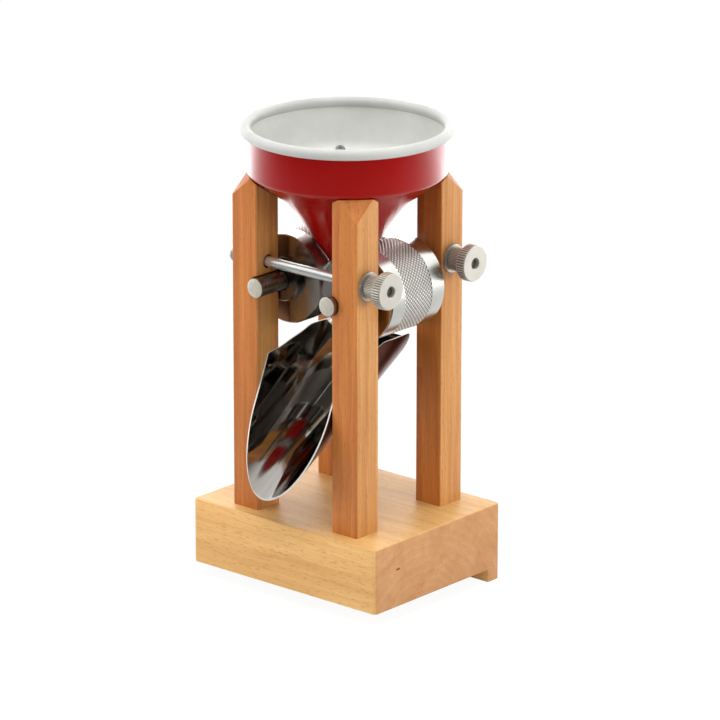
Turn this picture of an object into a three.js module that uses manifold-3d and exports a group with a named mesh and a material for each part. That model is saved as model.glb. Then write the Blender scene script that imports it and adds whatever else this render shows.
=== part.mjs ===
import * as THREE from 'three';
import { mergeVertices } from 'three/addons/utils/BufferGeometryUtils.js';
import Module from 'manifold-3d';

const wasm = await Module();
wasm.setup();

// Hand cranked grain flaker, in millimetres, +Z up
// Two rollers lie in notches of four wooden posts on a block, a spun hopper feeds their nip from above
// and a bright chute under them leads the flakes out over the front edge (-Y).
// The origin is the point of the block's underside below the hopper's axis, and both rollers lie along Y.

// Base block, cut away from below so that a lip is left to hook over the table's edge
const baseLength = 185.1;
const baseWidth = 147.0;
const baseHeight = 51.3;
const baseShiftX = -1.86;
const baseShiftY = 0.91;
const baseCornerRadius = 3.6;
const baseEdgeRadius = 1.6;
const lipWidth = 13.8;
const lipHeight = 10.3;

// Posts
const postSide = 25.0;
const postStandoff = 1.5;
const postEdgeRadius = 1.0;
const postRidgeSetOut = 4.4;
const postFacetAngle = THREE.MathUtils.degToRad(50);
const postSeatRelief = THREE.MathUtils.degToRad(3.3);
const postScrewLength = 62.0;
const counterboreRadius = 6.5;
const counterboreDepth = 24.0;

// Rollers and their shafts
const rollerRadius = 35.0;
const rollerLength = 60.6;
const rollerHeight = 230.0;
const nipGap = 2.0;
const rollerChamfer = 0.8;
const knurlWidth = 33.4;
const knurlDepth = 0.7;
const knurlCount = 50;
const knurlRows = 8;
const shaftRadius = 7.5;
const shaftProud = 5.0;
const shaftDome = 2.2;
const shaftNotchPlay = 0.7;
const shaftNotchLift = 0.3;
const collarRadius = 16.5;
const collarThickness = 5.0;
const collarChamfer = 0.5;
const collarPlay = 0.75;

// Hopper, with its heights each from the one below, and its overhang past the middle of the posts
const hopperOverhang = 6.5;
const hopperWall = 1.6;
const hopperOutletRadius = 16.0;
const hopperOutletRise = 16.0;
const hopperConeHeight = 69.5;
const hopperBandHeight = 32.7;
const beadRadius = 4.1;
const beadSetOut = 0.5;
const saddleGap = 1.0;
const hopperScrewLength = 17.0;

// Chute, with its heights measured down from its top edge
const chuteWall = 1.2;
const chuteAngle = THREE.MathUtils.degToRad(31.6);
const chuteBelowRollers = 8.0;
const chuteCornerDrop = 11.9;
const chuteCornerSetOut = 1.15;
const chuteTipDrop = 109.5;
const chuteMouthReach = 47.4;
const chuteFrontBow = 2.1;
const chuteLevelY = 0.0;
const chuteBackInset = 3.35;
const chuteBackRadius = 5.0;
const chuteScrewDrop = 24.0;
const chuteScrewLength = 14.0;
const chuteScrewHeadRadius = 2.8;
const chuteScrewHeadHeight = 0.9;

// Tie rods with their nuts
const rodRadius = 4.0;
const rodRise = 17.5;
const rodHolePlay = 1.25;
const capNutAcross = 13.0;
const capNutHexHeight = 6.5;
const capNutProud = 13.0;
const capNutDomeInset = 0.5;
const capNutBoreDepth = 7.5;
const washerRadius = 11.0;
const washerThickness = 2.0;
const nutProud = 22.8;
const nutNeckRadius = 9.0;
const nutNeckPlainLength = 3.0;
const nutHeadRadius = 14.0;
const nutHeadThickness = 8.0;
const nutBorePlay = 0.65;
const nutRidgeCount = 32;
const nutRidgeDepth = 0.7;
const nutChamfer = 0.9;
const rodEndInset = 3.5;

// Crank
const crankLength = 75.0;
const crankTilt = THREE.MathUtils.degToRad(-20);
const hubRadius = 10.5;
const hubStandoff = 1.5;
const hubLength = 14.5;
const armThickness = 6.0;
const armEndRadius = 8.0;
const gripRadius = 11.0;
const gripNeckRadius = 8.0;
const gripLength = 56.0;
const gripStandoff = 1.6;
const gripPlay = 0.35;
const axleRadius = 4.0;
const axleHeadRadius = 6.5;
const axleHeadHeight = 3.2;
const crankScrewRadius = 2.5;
const crankScrewHeadRadius = 4.0;
const crankScrewHeadHeight = 4.0;

// Screws that hold wood and sheet
const screwRadius = 2.0;
const screwHeadRadius = 3.8;
const screwHeadHeight = 2.4;
const longScrewRadius = 2.6;
const longScrewHeadRadius = 5.0;
const longScrewHeadHeight = 3.0;

// Clearances, and how far every cutting shape runs past what it cuts
const seatGap = 0.3;
const holePlay = 0.3;
const overrun = 5.0;

// Worked out from the sizes above
const rollerAxisX = rollerRadius + nipGap / 2;
const collarFootY = rollerLength / 2 + seatGap;
const postInnerX = rollerAxisX + postStandoff;
const postOuterX = postInnerX + postSide;
const postInnerY = collarFootY + collarThickness + collarPlay;
const postOuterY = postInnerY + postSide;
const postCentreX = (postInnerX + postOuterX) / 2;
const postCentreY = (postInnerY + postOuterY) / 2;
const postCentreReach = Math.hypot(postCentreX, postCentreY);
const postCornerReach = (postOuterX + postOuterY) / Math.SQRT2;
const postRidgeRadius = postCentreReach + postRidgeSetOut;
const hopperRadius = postCentreReach + hopperOverhang;
const hopperOutletHeight = rollerHeight + hopperOutletRise;
const hopperCreaseHeight = hopperOutletHeight + hopperConeHeight;
const beadHeight = hopperCreaseHeight + hopperBandHeight;
const beadCentreRadius = hopperRadius + beadSetOut;
const chuteRadius = postInnerX - seatGap;
const chuteTopZ = rollerHeight - rollerRadius - chuteBelowRollers;
const chuteTipZ = chuteTopZ - chuteTipDrop;
const chuteCornerZ = chuteTopZ - chuteCornerDrop;
const chuteCornerY = -postCentreY - chuteCornerSetOut;
const chuteTipY = chuteCornerY - chuteMouthReach;
const chuteBackY = postInnerY - chuteBackInset;
const chuteScrewZ = chuteTopZ - chuteScrewDrop;
const rodHeight = rollerHeight + rodRise;
const rodHoleRadius = rodRadius + rodHolePlay;
const nutBoreRadius = rodRadius + nutBorePlay;
const capNutDomeRadius = capNutAcross / 2 - capNutDomeInset;
const quarterTurn = Math.PI / 2;

// Turns a geometry into a welded one whose faces point out, with no slivers of no area
function weld(geometry) {
  const bare = geometry.index ? geometry : mergeVertices(geometry);
  bare.deleteAttribute('normal');
  bare.deleteAttribute('uv');
  const merged = mergeVertices(bare);
  const corner = [new THREE.Vector3(), new THREE.Vector3(), new THREE.Vector3()];
  const kept = [];
  let volume = 0;
  for (let i = 0; i < merged.index.count; i += 3) {
    const face = [0, 1, 2].map((k) => merged.index.getX(i + k));
    if (new Set(face).size < 3) continue;
    face.forEach((vertex, k) => corner[k].fromBufferAttribute(merged.attributes.position, vertex));
    volume += corner[0].dot(corner[1].clone().cross(corner[2]));
    kept.push(...face);
  }
  if (volume < 0) kept.reverse();
  merged.setIndex(kept);
  return merged;
}

function toSolid(geometry) {
  const merged = weld(geometry);
  const vertProperties = new Float32Array(merged.attributes.position.array);
  const triVerts = new Uint32Array(merged.index.array);
  return new wasm.Manifold(new wasm.Mesh({ numProp: 3, vertProperties, triVerts }));
}

function toGeometry(solid) {
  const mesh = solid.getMesh();
  const geometry = new THREE.BufferGeometry();
  geometry.setAttribute('position', new THREE.BufferAttribute(mesh.vertProperties, mesh.numProp));
  geometry.setIndex(new THREE.BufferAttribute(mesh.triVerts, 1));
  return geometry;
}

function joined(geometries) {
  return toGeometry(geometries.map(toSolid).reduce((all, one) => all.add(one)));
}

function cut(geometry, cutters) {
  const solids = cutters.map(toSolid);
  return toGeometry(solids.reduce((left, cutter) => left.subtract(cutter), toSolid(geometry)));
}

// Extrusions: a shape drawn in (x, y), (x, z) or (y, z) between two places on the third axis
function extrudeZ(shape, z0, z1, segments = 6) {
  const settings = { depth: z1 - z0, bevelEnabled: false, curveSegments: segments };
  return new THREE.ExtrudeGeometry(shape, settings).translate(0, 0, z0);
}

function extrudeY(shape, y0, y1, segments = 6) {
  return extrudeZ(shape, -y1, -y0, segments).rotateX(quarterTurn);
}

function extrudeX(shape, x0, x1, segments = 6) {
  const basis = new THREE.Matrix4().makeBasis(
    new THREE.Vector3(0, 1, 0), new THREE.Vector3(0, 0, 1), new THREE.Vector3(1, 0, 0));
  return extrudeZ(shape, x0, x1, segments).applyMatrix4(basis);
}

// Revolved shapes: profile points are (radius, place along the axis)
function turnedY(points, segments) {
  return new THREE.LatheGeometry(points.map(([r, h]) => new THREE.Vector2(r, h)), segments);
}

function turnedZ(points, segments) {
  return turnedY(points, segments).rotateX(quarterTurn);
}

function turnedX(points, segments) {
  return turnedY(points, segments).rotateZ(-quarterTurn);
}

function rodPoints(radius, from, to) {
  return [[0, from], [radius, from], [radius, to], [0, to]];
}

function ringPoints(inner, outer, from, to, chamfer = 0) {
  return [
    [inner, from], [outer - chamfer, from], [outer, from + chamfer],
    [outer, to - chamfer], [outer - chamfer, to], [inner, to], [inner, from],
  ];
}

function arcPoints(centreR, centreH, radius, from, to, steps) {
  return Array.from({ length: steps + 1 }, (_, k) => {
    const angle = from + (to - from) * k / steps;
    return [centreR + radius * Math.cos(angle), centreH + radius * Math.sin(angle)];
  });
}

function roundedRectangle(length, width, radius) {
  const x = length / 2;
  const y = width / 2;
  const shape = new THREE.Shape();
  shape.absarc(x - radius, y - radius, radius, 0, quarterTurn);
  shape.absarc(radius - x, y - radius, radius, quarterTurn, 2 * quarterTurn);
  shape.absarc(radius - x, radius - y, radius, 2 * quarterTurn, 3 * quarterTurn);
  shape.absarc(x - radius, radius - y, radius, 3 * quarterTurn, 4 * quarterTurn);
  return shape;
}

// A block with rounded upright edges and rounded top and bottom edges
function easedBlock(length, width, height, cornerRadius, edgeRadius) {
  const shape = roundedRectangle(length - 2 * edgeRadius, width - 2 * edgeRadius, cornerRadius);
  const geometry = new THREE.ExtrudeGeometry(shape, {
    depth: height - 2 * edgeRadius, curveSegments: 3,
    bevelThickness: edgeRadius, bevelSize: edgeRadius, bevelSegments: 2,
  });
  return geometry.translate(0, 0, edgeRadius);
}

// Copies of a geometry mirrored to the four posts
const postSigns = {
  front_left: [-1, -1],
  front_right: [1, -1],
  rear_left: [-1, 1],
  rear_right: [1, 1],
};

function atPost(geometry, [signX, signY]) {
  return geometry.clone().applyMatrix4(new THREE.Matrix4().makeScale(signX, signY, 1));
}

function atEachPost(geometry) {
  return Object.values(postSigns).map((signs) => atPost(geometry, signs));
}

// Outer line of the hopper's trumpet, as shares of its rise from the outlet to the crease
const trumpetRadiusShares = [0, 0.066, 0.174, 0.298, 0.48, 0.695, 1];
const trumpetHeightShares = [0, 0.115, 0.259, 0.4245, 0.6187, 0.7986, 1];

function trumpetPoints() {
  return trumpetRadiusShares.map((radiusShare, k) => [
    THREE.MathUtils.lerp(hopperOutletRadius, hopperRadius, radiusShare),
    THREE.MathUtils.lerp(hopperOutletHeight, hopperCreaseHeight, trumpetHeightShares[k]),
  ]);
}

// Slope and height of the trumpet's top stretch, on which the posts and the hopper's screws bear
function trumpetTop(radius) {
  const points = trumpetPoints();
  const [low, high] = points.slice(-2);
  const slope = (high[1] - low[1]) / (high[0] - low[0]);
  return { angle: Math.atan(slope), height: high[1] + slope * (radius - high[0]) };
}

// The same line moved square to itself by the sheet's thickness
function innerPoints(points, thickness) {
  return points.map(([r, h], k) => {
    const before = points[Math.max(k - 1, 0)];
    const after = points[Math.min(k + 1, points.length - 1)];
    const run = Math.hypot(after[0] - before[0], after[1] - before[1]);
    return [r - thickness * (after[1] - before[1]) / run, h + thickness * (after[0] - before[0]) / run];
  });
}

// Base block, with counterbored holes for the screws that hold the posts from below
function longScrewHole(from, to) {
  return turnedZ(rodPoints(longScrewRadius + holePlay, from, to), 12);
}

function baseBlock() {
  const block = easedBlock(baseLength, baseWidth, baseHeight + lipHeight, baseCornerRadius, baseEdgeRadius);
  block.translate(baseShiftX, baseShiftY, -lipHeight);
  const rebate = new THREE.BoxGeometry(baseLength + 2 * overrun, baseWidth, lipHeight + overrun);
  rebate.translate(baseShiftX, baseShiftY - lipWidth, -(lipHeight + overrun) / 2);
  const counterbore = turnedZ(rodPoints(counterboreRadius, -overrun, counterboreDepth), 16);
  const hole = longScrewHole(0, baseHeight + overrun);
  const forOnePost = joined([counterbore, hole]).translate(postCentreX, postCentreY, 0);
  return cut(block, [rebate, ...atEachPost(forOnePost)]);
}

// Countersunk screw, its head's flat side at 0 and its point above
function postScrew() {
  const screw = turnedZ([
    [0, 0], [longScrewHeadRadius, 0], [longScrewRadius, longScrewHeadHeight],
    [longScrewRadius, postScrewLength - 2 * longScrewRadius], [0, postScrewLength],
  ], 12);
  const lift = counterboreDepth - longScrewHeadHeight - seatGap;
  return screw.translate(postCentreX, postCentreY, lift);
}

// Post of the +X +Y corner; the others are its mirror images
function postTopKeeper() {
  const { angle, height } = trumpetTop(postRidgeRadius);
  const ridgeZ = height - seatGap;
  const seatSlope = Math.tan(angle + postSeatRelief);
  const innerReach = (postInnerX + postInnerY) / Math.SQRT2 - overrun;
  const outerReach = postCornerReach + overrun;
  const shape = new THREE.Shape();
  shape.moveTo(innerReach, baseHeight - overrun);
  shape.lineTo(outerReach, baseHeight - overrun);
  shape.lineTo(outerReach, ridgeZ - (outerReach - postRidgeRadius) * Math.tan(postFacetAngle));
  shape.lineTo(postRidgeRadius, ridgeZ);
  shape.lineTo(innerReach, ridgeZ - (postRidgeRadius - innerReach) * seatSlope);
  return extrudeY(shape, -postSide, postSide).rotateZ(Math.PI / 4);
}

function shaftNotch() {
  const radius = shaftRadius + shaftNotchPlay;
  const notch = turnedY(rodPoints(radius, postInnerY - overrun, postOuterY + overrun), 24);
  const opening = new THREE.BoxGeometry(rollerAxisX, postSide + 2 * overrun, 2 * radius);
  opening.translate(rollerAxisX / 2, postCentreY, 0);
  const lift = rollerHeight + shaftNotchLift;
  return joined([notch.translate(rollerAxisX + shaftNotchLift, 0, 0), opening]).translate(0, 0, lift);
}

function rodHole() {
  const points = rodPoints(rodHoleRadius, postInnerX - overrun, postOuterX + overrun);
  return turnedX(points, 16).translate(0, postCentreY, rodHeight);
}

function cornerPost() {
  const shape = roundedRectangle(postSide, postSide, postEdgeRadius);
  const stock = extrudeZ(shape, baseHeight, hopperCreaseHeight, 2).translate(postCentreX, postCentreY, 0);
  const topped = toGeometry(toSolid(stock).intersect(toSolid(postTopKeeper())));
  const fromBelow = longScrewHole(0, baseHeight + postScrewLength).translate(postCentreX, postCentreY, 0);
  return cut(topped, [shaftNotch(), rodHole(), fromBelow, placedHopperScrew(hopperScrewHole())]);
}

// The front posts also take the chute's screws
function frontPost() {
  return cut(cornerPost(), [placedChuteScrew(sheetScrewHole(chuteScrewLength))]);
}

// Pan head screw through sheet, its head's seat at 0 and its point below
function sheetScrew(length, headRadius, headHeight) {
  return turnedZ([
    [0, -length], [screwRadius, 2 * screwRadius - length], [screwRadius, 0], [headRadius, 0],
    [headRadius, headHeight / 2], [headRadius - headHeight / 2, headHeight], [0, headHeight],
  ], 10);
}

function sheetScrewHole(length) {
  return turnedZ(rodPoints(screwRadius + holePlay, -length - holePlay, overrun), 10);
}

function hopperScrewHole() {
  return sheetScrewHole(hopperScrewLength);
}

// Square to the trumpet's wall, on the line from the hopper's axis to the post
function placedHopperScrew(geometry) {
  const { angle, height } = trumpetTop(postCentreReach);
  const lift = hopperWall + seatGap;
  return geometry.clone()
    .translate(0, 0, lift)
    .rotateY(-angle)
    .translate(postCentreReach, 0, height)
    .rotateZ(Math.atan2(postCentreY, postCentreX));
}

function hopperScrew() {
  return placedHopperScrew(sheetScrew(hopperScrewLength, screwHeadRadius, screwHeadHeight));
}

// Hopper: a spun shell with a trumpet, a straight wall and a rolled bead, saddle cut over both rollers
function hopperShell() {
  const outer = trumpetPoints();
  const inner = innerPoints(outer, hopperWall).reverse();
  const innerRadius = hopperRadius - hopperWall;
  const startAngle = -Math.acos((hopperRadius - beadCentreRadius) / beadRadius);
  const endAngle = Math.acos((innerRadius - beadCentreRadius) / beadRadius);
  const sweptTo = 4 * quarterTurn - endAngle;
  const bead = arcPoints(beadCentreRadius, beadHeight, beadRadius, startAngle, sweptTo, 9);
  const creaseInner = [innerRadius, hopperCreaseHeight + hopperWall / 2];
  return turnedZ([...outer, ...bead, creaseInner, ...inner.slice(1), outer[0]], 44);
}

function saddleCutter(sign) {
  const reach = hopperRadius;
  const points = rodPoints(rollerRadius + saddleGap, -reach, reach);
  return turnedY(points, 48).translate(sign * rollerAxisX, 0, rollerHeight);
}

function hopper() {
  const holes = atEachPost(placedHopperScrew(hopperScrewHole()));
  return cut(hopperShell(), [saddleCutter(1), saddleCutter(-1), ...holes]);
}

// Chute: a bent sheet with a round bottom, drawn across its own slope, then trimmed in side view
function troughShape(radius, rim) {
  const shape = new THREE.Shape();
  shape.moveTo(-radius, rim);
  shape.lineTo(-radius, 0);
  shape.absarc(0, 0, radius, 2 * quarterTurn, 4 * quarterTurn);
  shape.lineTo(radius, rim);
  return shape;
}

// Runs a shape drawn in (x, away from the trough's bottom) along the chute's slope
function alongChute(shape, overlap) {
  const rise = chuteTopZ - chuteTipZ;
  const length = (chuteBackY - chuteTipY) / Math.cos(chuteAngle) + 2 * rise;
  const centreZ = chuteTipZ + chuteRadius * Math.cos(chuteAngle);
  const centreY = chuteTipY - chuteRadius * Math.sin(chuteAngle);
  return extrudeY(shape, -rise - overlap, length + overlap, 14)
    .rotateX(chuteAngle)
    .translate(0, centreY, centreZ);
}

// Share of the run from the front corner to the level stretch, and of the rise there
const chuteRunShares = [0.27, 0.52, 0.78];
const chuteRiseShares = [0.16, 0.44, 0.69];

function chuteSideShape() {
  const shape = new THREE.Shape();
  const midY = (chuteTipY + chuteCornerY) / 2 + 2 * chuteFrontBow;
  const midZ = (chuteTipZ + chuteCornerZ) / 2;
  shape.moveTo(chuteTipY - overrun, chuteTipZ - overrun);
  shape.lineTo(chuteTipY, chuteTipZ);
  shape.quadraticCurveTo(midY, midZ, chuteCornerY, chuteCornerZ);
  chuteRunShares.forEach((runShare, k) => shape.lineTo(
    THREE.MathUtils.lerp(chuteCornerY, chuteLevelY, runShare),
    THREE.MathUtils.lerp(chuteCornerZ, chuteTopZ, chuteRiseShares[k])));
  shape.lineTo(chuteLevelY, chuteTopZ);
  const roundY = chuteBackY - chuteBackRadius;
  shape.lineTo(roundY, chuteTopZ);
  shape.absarc(roundY, chuteTopZ - chuteBackRadius, chuteBackRadius, quarterTurn, 0, true);
  shape.lineTo(chuteBackY, chuteTipZ - overrun);
  return shape;
}

function chute() {
  const reach = postOuterX;
  const rim = chuteTopZ - chuteTipZ;
  const full = toSolid(alongChute(troughShape(chuteRadius, rim), 0));
  const inside = toSolid(alongChute(troughShape(chuteRadius - chuteWall, rim + overrun), overrun));
  const backCutter = new THREE.BoxGeometry(2 * reach, 2 * reach, 2 * chuteTopZ);
  backCutter.translate(0, chuteBackY - chuteWall + reach, chuteTopZ);
  const side = toSolid(extrudeX(chuteSideShape(), -reach, reach, 8));
  const shell = full.subtract(inside.subtract(toSolid(backCutter))).intersect(side);
  const hole = placedChuteScrew(sheetScrewHole(chuteScrewLength));
  return cut(toGeometry(shell), [atPost(hole, postSigns.front_right), atPost(hole, postSigns.front_left)]);
}

// Through the side wall of the chute into the middle of the post
function placedChuteScrew(geometry) {
  const seatX = chuteRadius - chuteWall - seatGap;
  return geometry.clone().rotateY(-quarterTurn).translate(seatX, postCentreY, chuteScrewZ);
}

function chuteScrew() {
  return placedChuteScrew(sheetScrew(chuteScrewLength, chuteScrewHeadRadius, chuteScrewHeadHeight));
}

// Roller: rings of corners along Y, with every second corner of the knurled rings cut to the groove's depth
function knurledRoller() {
  const half = rollerLength / 2;
  const knurlHalf = knurlWidth / 2;
  const bore = shaftRadius + holePlay;
  const row = knurlWidth / knurlRows;
  const rings = [
    { y: -half, radius: bore },
    { y: -half, radius: rollerRadius - rollerChamfer },
    { y: rollerChamfer - half, radius: rollerRadius },
  ];
  for (let j = 0; j <= knurlRows; j += 1) {
    rings.push({ y: j * row - knurlHalf, radius: rollerRadius, knurl: j });
  }
  rings.push({ y: half - rollerChamfer, radius: rollerRadius });
  rings.push({ y: half, radius: rollerRadius - rollerChamfer });
  rings.push({ y: half, radius: bore });
  const places = [];
  rings.forEach((ring) => {
    for (let i = 0; i < knurlCount; i += 1) {
      const low = ring.knurl !== undefined && (i + ring.knurl) % 2 === 1;
      const radius = ring.radius - (low ? knurlDepth : 0);
      const angle = 2 * Math.PI * i / knurlCount;
      places.push(radius * Math.cos(angle), ring.y, radius * Math.sin(angle));
    }
  });
  return ringMesh(places, rings.length, knurlCount, (i, j) => (i + (rings[j].knurl ?? 1)) % 2 === 1);
}

// Joins rings of corners in turn and the last with the first; risingEdge picks which way a face is halved
function ringMesh(places, ringCount, cornerCount, risingEdge) {
  const index = [];
  for (let j = 0; j < ringCount; j += 1) {
    const next = (j + 1) % ringCount;
    for (let i = 0; i < cornerCount; i += 1) {
      const turn = (i + 1) % cornerCount;
      const a = j * cornerCount + i;
      const b = j * cornerCount + turn;
      const c = next * cornerCount + turn;
      const d = next * cornerCount + i;
      if (risingEdge(i, j)) index.push(a, b, c, a, c, d);
      else index.push(a, b, d, b, c, d);
    }
  }
  const geometry = new THREE.BufferGeometry();
  geometry.setAttribute('position', new THREE.Float32BufferAttribute(places, 3));
  geometry.setIndex(index);
  return geometry;
}

function shaft(backEnd) {
  const front = -postOuterY - shaftProud;
  return turnedY([
    [0, front], [shaftRadius * Math.SQRT1_2, front + shaftDome / 3], [shaftRadius, front + shaftDome],
    [shaftRadius, backEnd - shaftDome], [shaftRadius * Math.SQRT1_2, backEnd - shaftDome / 3], [0, backEnd],
  ], 24);
}

function collar(side) {
  const bore = shaftRadius + holePlay;
  const far = collarFootY + collarThickness;
  const points = ringPoints(bore, collarRadius, collarFootY, far, collarChamfer);
  return turnedY(points.map(([r, y]) => [r, side * y]), 24);
}

// Tie rod: its threaded end stands inside the knurled nut, its other end inside the cap nut
function tieRod() {
  const from = -postOuterX - capNutBoreDepth + seatGap;
  const to = postOuterX + nutProud - rodEndInset;
  return turnedX(rodPoints(rodRadius, from, to), 16);
}

function capNut() {
  const face = -postOuterX;
  const corner = capNutAcross / Math.sqrt(3);
  const hex = turnedX(rodPoints(corner, face - capNutHexHeight, face), 6);
  const domeHeight = capNutProud - capNutHexHeight;
  const dome = arcPoints(0, 0, 1, 0, quarterTurn, 4).map(([r, h]) => [
    r * capNutDomeRadius, face - capNutHexHeight - h * domeHeight]);
  const base = [[0, face - capNutHexHeight / 2], [capNutDomeRadius, face - capNutHexHeight / 2]];
  const whole = joined([hex, turnedX([...base, ...dome.slice(0, -1), [0, face - capNutProud]], 20)]);
  const bore = rodPoints(rodRadius + holePlay, face - capNutBoreDepth, face + overrun);
  return cut(whole, [turnedX(bore, 16)]);
}

function washer() {
  const inner = rodRadius + holePlay;
  return turnedX(ringPoints(inner, washerRadius, postOuterX, postOuterX + washerThickness), 24);
}

// Knurled nut: a neck that bears on the washer and a head, both with straight ridges round them
function ridgedShape(radius) {
  const grooveRadius = radius * (1 - nutRidgeDepth / nutHeadRadius);
  const shape = new THREE.Shape();
  for (let i = 0; i < nutRidgeCount * 2; i += 1) {
    const reach = i % 2 === 0 ? radius : grooveRadius;
    const angle = Math.PI * i / nutRidgeCount;
    if (i === 0) shape.moveTo(reach, 0);
    else shape.lineTo(reach * Math.cos(angle), reach * Math.sin(angle));
  }
  return shape;
}

function knurledNut() {
  const foot = postOuterX + washerThickness + seatGap;
  const end = postOuterX + nutProud;
  const headMiddle = end - nutHeadThickness / 2;
  const head = new THREE.ExtrudeGeometry(ridgedShape(nutHeadRadius - nutChamfer), {
    depth: nutHeadThickness - 2 * nutChamfer,
    bevelThickness: nutChamfer, bevelSize: nutChamfer, bevelSegments: 1,
  });
  head.rotateY(quarterTurn).translate(end - nutHeadThickness + nutChamfer, 0, 0);
  const neck = extrudeX(ridgedShape(nutNeckRadius), foot + nutNeckPlainLength, headMiddle);
  const plain = turnedX(rodPoints(nutNeckRadius, foot, foot + nutNeckPlainLength + seatGap), 24);
  const bore = turnedX(rodPoints(nutBoreRadius, foot - overrun, end + overrun), 16);
  return cut(joined([head, neck, plain]), [bore]);
}

// Crank: hub and arm in one, on the back end of the driven roller's shaft
function crankPlaced(geometry) {
  return geometry.rotateY(crankTilt).translate(-rollerAxisX, 0, rollerHeight);
}

const hubFootY = postOuterY + hubStandoff;
const hubEndY = hubFootY + hubLength;

function crankArm() {
  const hub = turnedY([
    [0, hubFootY], [hubRadius, hubFootY], [hubRadius, hubEndY], [0, hubEndY]], 28);
  const lean = Math.asin((hubRadius - armEndRadius) / crankLength);
  const shape = new THREE.Shape();
  shape.absarc(0, crankLength, armEndRadius, lean, 2 * quarterTurn - lean);
  shape.absarc(0, 0, hubRadius - seatGap, 2 * quarterTurn - lean, 4 * quarterTurn + lean);
  const arm = extrudeY(shape, hubEndY - armThickness, hubEndY, 10);
  const shaftBore = turnedY(rodPoints(shaftRadius + holePlay, hubFootY - overrun, hubEndY + overrun), 24);
  const axleBore = turnedY(rodPoints(axleRadius + holePlay, hubFootY, hubEndY + overrun), 14);
  const screwBore = turnedX(rodPoints(crankScrewRadius + holePlay, 0, hubRadius + overrun), 12);
  screwBore.translate(0, crankScrewY(), 0);
  const whole = joined([hub, arm]);
  return cut(whole, [shaftBore, axleBore.translate(0, 0, crankLength), screwBore.rotateY(Math.PI)]);
}

function crankScrewY() {
  return hubFootY + (hubLength - armThickness) / 2;
}

// Clamping screw with a socket head, on the side of the hub
function crankScrew() {
  const tip = shaftRadius + 2 * seatGap;
  const seat = hubRadius + seatGap;
  const screw = turnedX([
    [0, tip], [crankScrewRadius, tip], [crankScrewRadius, seat], [crankScrewHeadRadius, seat],
    [crankScrewHeadRadius, seat + crankScrewHeadHeight], [0, seat + crankScrewHeadHeight],
  ], 12);
  return screw.translate(0, crankScrewY(), 0).rotateY(Math.PI);
}

// Grip: turned wood with a waist, loose on a shoulder screw through the arm
const gripFootY = hubEndY + gripStandoff;
const gripShares = [0, 0.08, 0.3, 0.62, 0.9, 1];
const gripGirthShares = [0.15, 0.55, 0.9, 1, 0.85, 0.45];

function crankGrip() {
  const outer = gripShares.map((lengthShare, k) => [
    THREE.MathUtils.lerp(gripNeckRadius, gripRadius, gripGirthShares[k]),
    gripFootY + gripLength * lengthShare,
  ]);
  const end = gripFootY + gripLength;
  const pocket = end - axleHeadHeight - seatGap;
  const bore = axleRadius + gripPlay;
  const headBore = axleHeadRadius + gripPlay;
  const inner = [[headBore, end], [headBore, pocket], [bore, pocket], [bore, gripFootY]];
  return turnedY([...outer, ...inner, outer[0]], 20).translate(0, 0, crankLength);
}

function gripAxle() {
  const end = gripFootY + gripLength;
  return turnedY([
    [0, hubEndY - armThickness], [axleRadius, hubEndY - armThickness], [axleRadius, end - axleHeadHeight],
    [axleHeadRadius, end - axleHeadHeight], [axleHeadRadius, end], [0, end],
  ], 14).translate(0, 0, crankLength);
}

// Colours and finishes
const finishes = {
  block: { color: 0xd6aa73, roughness: 0.55, metalness: 0 },
  post: { color: 0xbe7d41, roughness: 0.55, metalness: 0 },
  red: { color: 0xa3151c, roughness: 0.12, metalness: 0 },
  polished: { color: 0xd2d4d6, roughness: 0.08, metalness: 1 },
  steel: { color: 0xb9bbbd, roughness: 0.3, metalness: 1 },
  nickel: { color: 0xc9c6be, roughness: 0.22, metalness: 1 },
  zinc: { color: 0xa9abad, roughness: 0.4, metalness: 1 },
};
const materials = Object.fromEntries(Object.entries(finishes).map(
  ([name, finish]) => [name, new THREE.MeshStandardMaterial({ name, ...finish })]));

function piece(name, finish, geometry) {
  const welded = weld(geometry);
  welded.computeVertexNormals();
  const mesh = new THREE.Mesh(welded, materials[finish]);
  mesh.name = name;
  return mesh;
}

// The flaker
const flaker = new THREE.Group();
flaker.name = 'grain_flaker';

flaker.add(piece('base_block', 'block', baseBlock()));

// Posts, each with its screws from below and from the hopper, the front ones also with one from the chute
for (const [place, signs] of Object.entries(postSigns)) {
  const isFront = signs[1] < 0;
  flaker.add(piece(`post_${place}`, 'post', atPost(isFront ? frontPost() : cornerPost(), signs)));
  flaker.add(piece(`post_screw_${place}`, 'zinc', atPost(postScrew(), signs)));
  flaker.add(piece(`hopper_screw_${place}`, 'zinc', atPost(hopperScrew(), signs)));
  if (isFront) flaker.add(piece(`chute_screw_${place}`, 'zinc', atPost(chuteScrew(), signs)));
}

flaker.add(piece('hopper', 'red', hopper()));
flaker.add(piece('chute', 'polished', chute()));

// Rollers: the driven one carries the crank, the other is dragged round by the grain
function rollerGroup(name, sign, backEnd) {
  const group = new THREE.Group();
  group.position.set(sign * rollerAxisX, 0, rollerHeight);
  group.add(piece(`${name}_roller`, 'steel', knurledRoller()));
  group.add(piece(`${name}_shaft`, 'polished', shaft(backEnd)));
  group.add(piece(`${name}_collar_front`, 'steel', collar(-1)));
  group.add(piece(`${name}_collar_rear`, 'steel', collar(1)));
  return group;
}
flaker.add(rollerGroup('drive', -1, hubEndY));
flaker.add(rollerGroup('idler', 1, postOuterY + shaftProud));

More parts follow.
